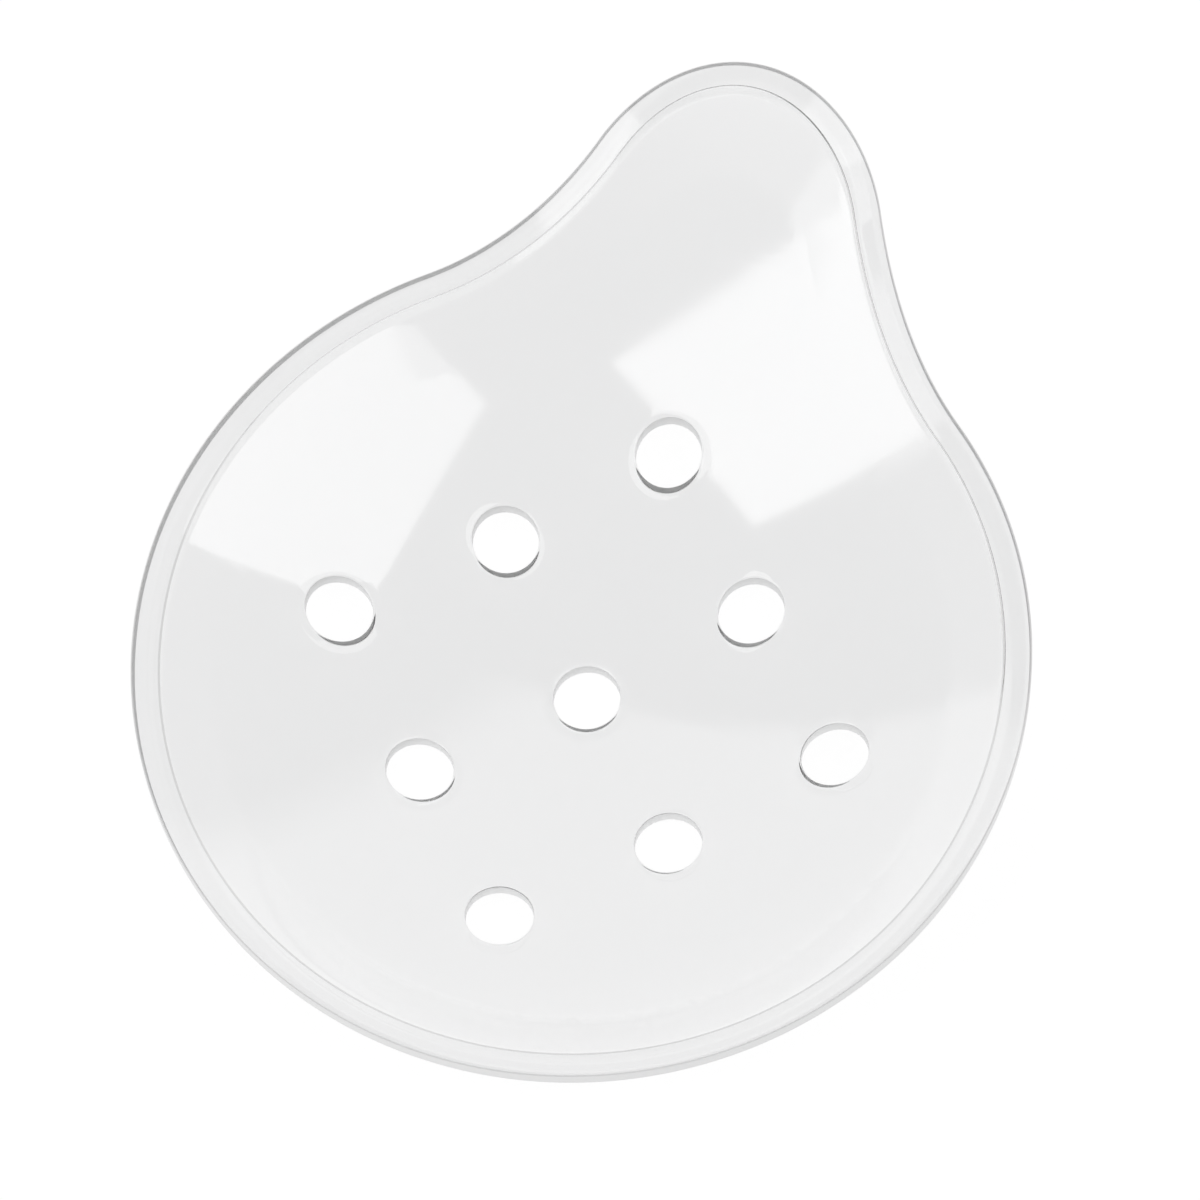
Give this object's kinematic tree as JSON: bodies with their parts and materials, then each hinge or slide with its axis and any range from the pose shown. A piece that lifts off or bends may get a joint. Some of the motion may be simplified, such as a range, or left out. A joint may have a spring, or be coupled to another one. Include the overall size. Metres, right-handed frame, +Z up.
{
  "type": "surgical eye shield",
  "caption": "Clear moulded dome over a closed eye: a round vented bowl that rises into one rounded lobe, with a raised band round its edge that rests on the face.",
  "frame": {"origin": "under the middle of the outline, at the height of the bowl's lowest point, with the hollow side up", "axes": "+Y along the shield towards its lobe, +Z up out of the bowl along the vents, +X across it"},
  "size_m": [0.0672, 0.079, 0.0231],
  "materials": {
    "clear_plastic": "clear, polished"
  },
  "bodies": {
    "root": {"shield_shell": "clear_plastic"}
  },
  "joints": []
}
